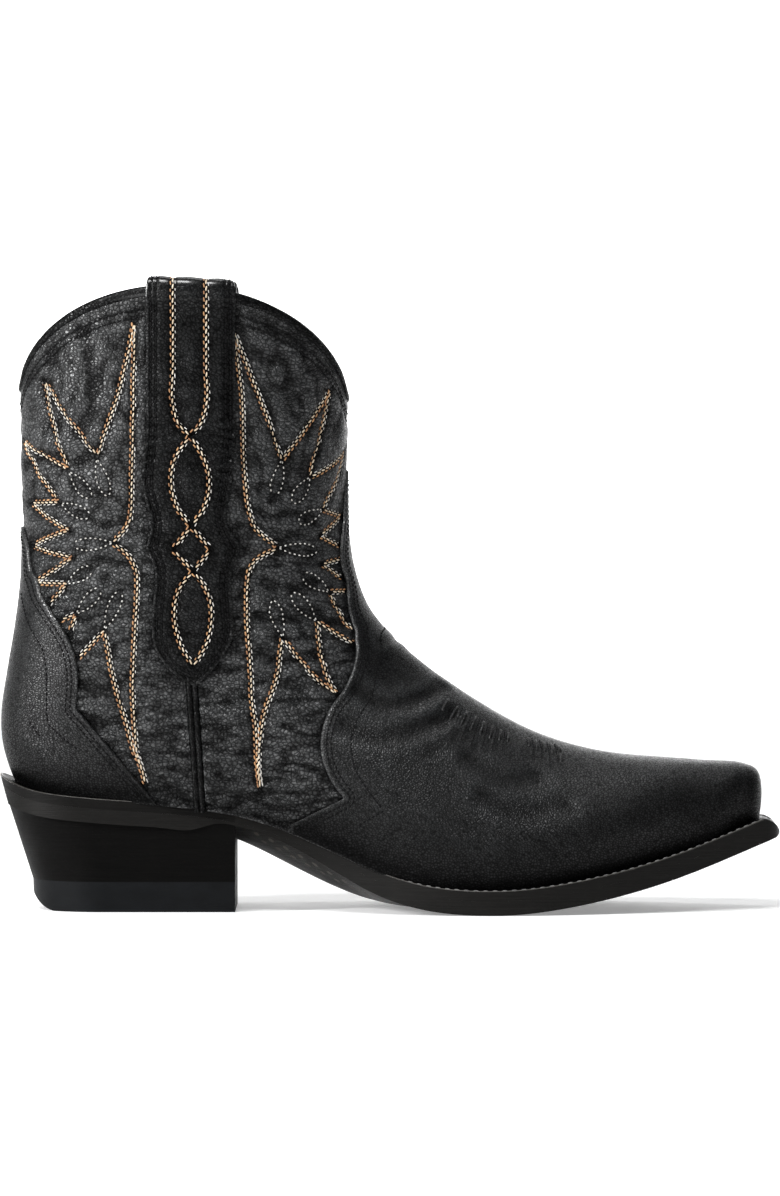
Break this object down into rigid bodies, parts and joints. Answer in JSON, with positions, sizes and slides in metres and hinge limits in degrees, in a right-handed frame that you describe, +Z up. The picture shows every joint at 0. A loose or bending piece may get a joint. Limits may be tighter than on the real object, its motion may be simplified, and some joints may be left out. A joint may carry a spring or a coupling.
{
  "type": "cowboy boot",
  "caption": "Short pull-on western ankle boot for the right foot, with a snipped toe, an underslung stacked heel, pull straps and an arched collar.",
  "frame": {"origin": "on the ground, at the middle of the boot's length and width", "axes": "+X towards the toe, +Y towards the inner (medial) side of a right boot, +Z up"},
  "size_m": [0.2948, 0.0981, 0.239],
  "materials": {
    "vamp_leather": "semi-gloss black leather, fine pebble grain",
    "shaft_leather": "satin black leather, soft creased grain",
    "strap_leather": "satin black leather, smooth",
    "lining_leather": "matt dark lining leather",
    "interlining_cloth": "plain woven cotton",
    "stiffener_board": "pressed leather fibre board",
    "footbed_leather": "matt perforated cushion cover",
    "insole_leather": "vegetable tanned, matt",
    "sole_leather": "black edge ink, burnished satin",
    "stack_leather": "black edge ink, satin, layers visible",
    "cap_rubber": "matt black rubber",
    "cork": "granulated cork",
    "peg_wood": "lemonwood",
    "spring_steel": "blued spring steel",
    "nail_steel": "bright steel",
    "stitch_thread": "tan waxed thread"
  },
  "bodies": {
    "root": {"vamp": "vamp_leather", "counter_cover": "vamp_leather", "front_shaft_panel": "shaft_leather", "back_shaft_panel": "shaft_leather", "pull_strap_lateral": "strap_leather", "pull_strap_medial": "strap_leather", "side_piping_lateral": "strap_leather", "side_piping_medial": "strap_leather", "collar_binding": "strap_leather", "front_shaft_lining": "lining_leather", "back_shaft_lining": "lining_leather", "vamp_lining": "lining_leather", "vamp_interlining": "interlining_cloth", "toe_puff": "stiffener_board", "heel_stiffener": "stiffener_board", "footbed": "footbed_leather", "insole": "insole_leather", "insole_rib": "interlining_cloth", "welt": "sole_leather", "heel_seat_rand": "sole_leather", "cork_filler": "cork", "seat_filler": "insole_leather", "steel_shank": "spring_steel", "shank_cover": "insole_leather", "outsole": "sole_leather", "waist_pegs": "peg_wood", "heel_wedge": "stack_leather", "heel_lift_1": "stack_leather", "heel_lift_2": "stack_leather", "heel_lift_3": "stack_leather", "heel_lift_4": "stack_leather", "heel_cap": "cap_rubber", "heel_cap_nails": "nail_steel", "heel_seat_nails": "nail_steel"}
  },
  "joints": []
}
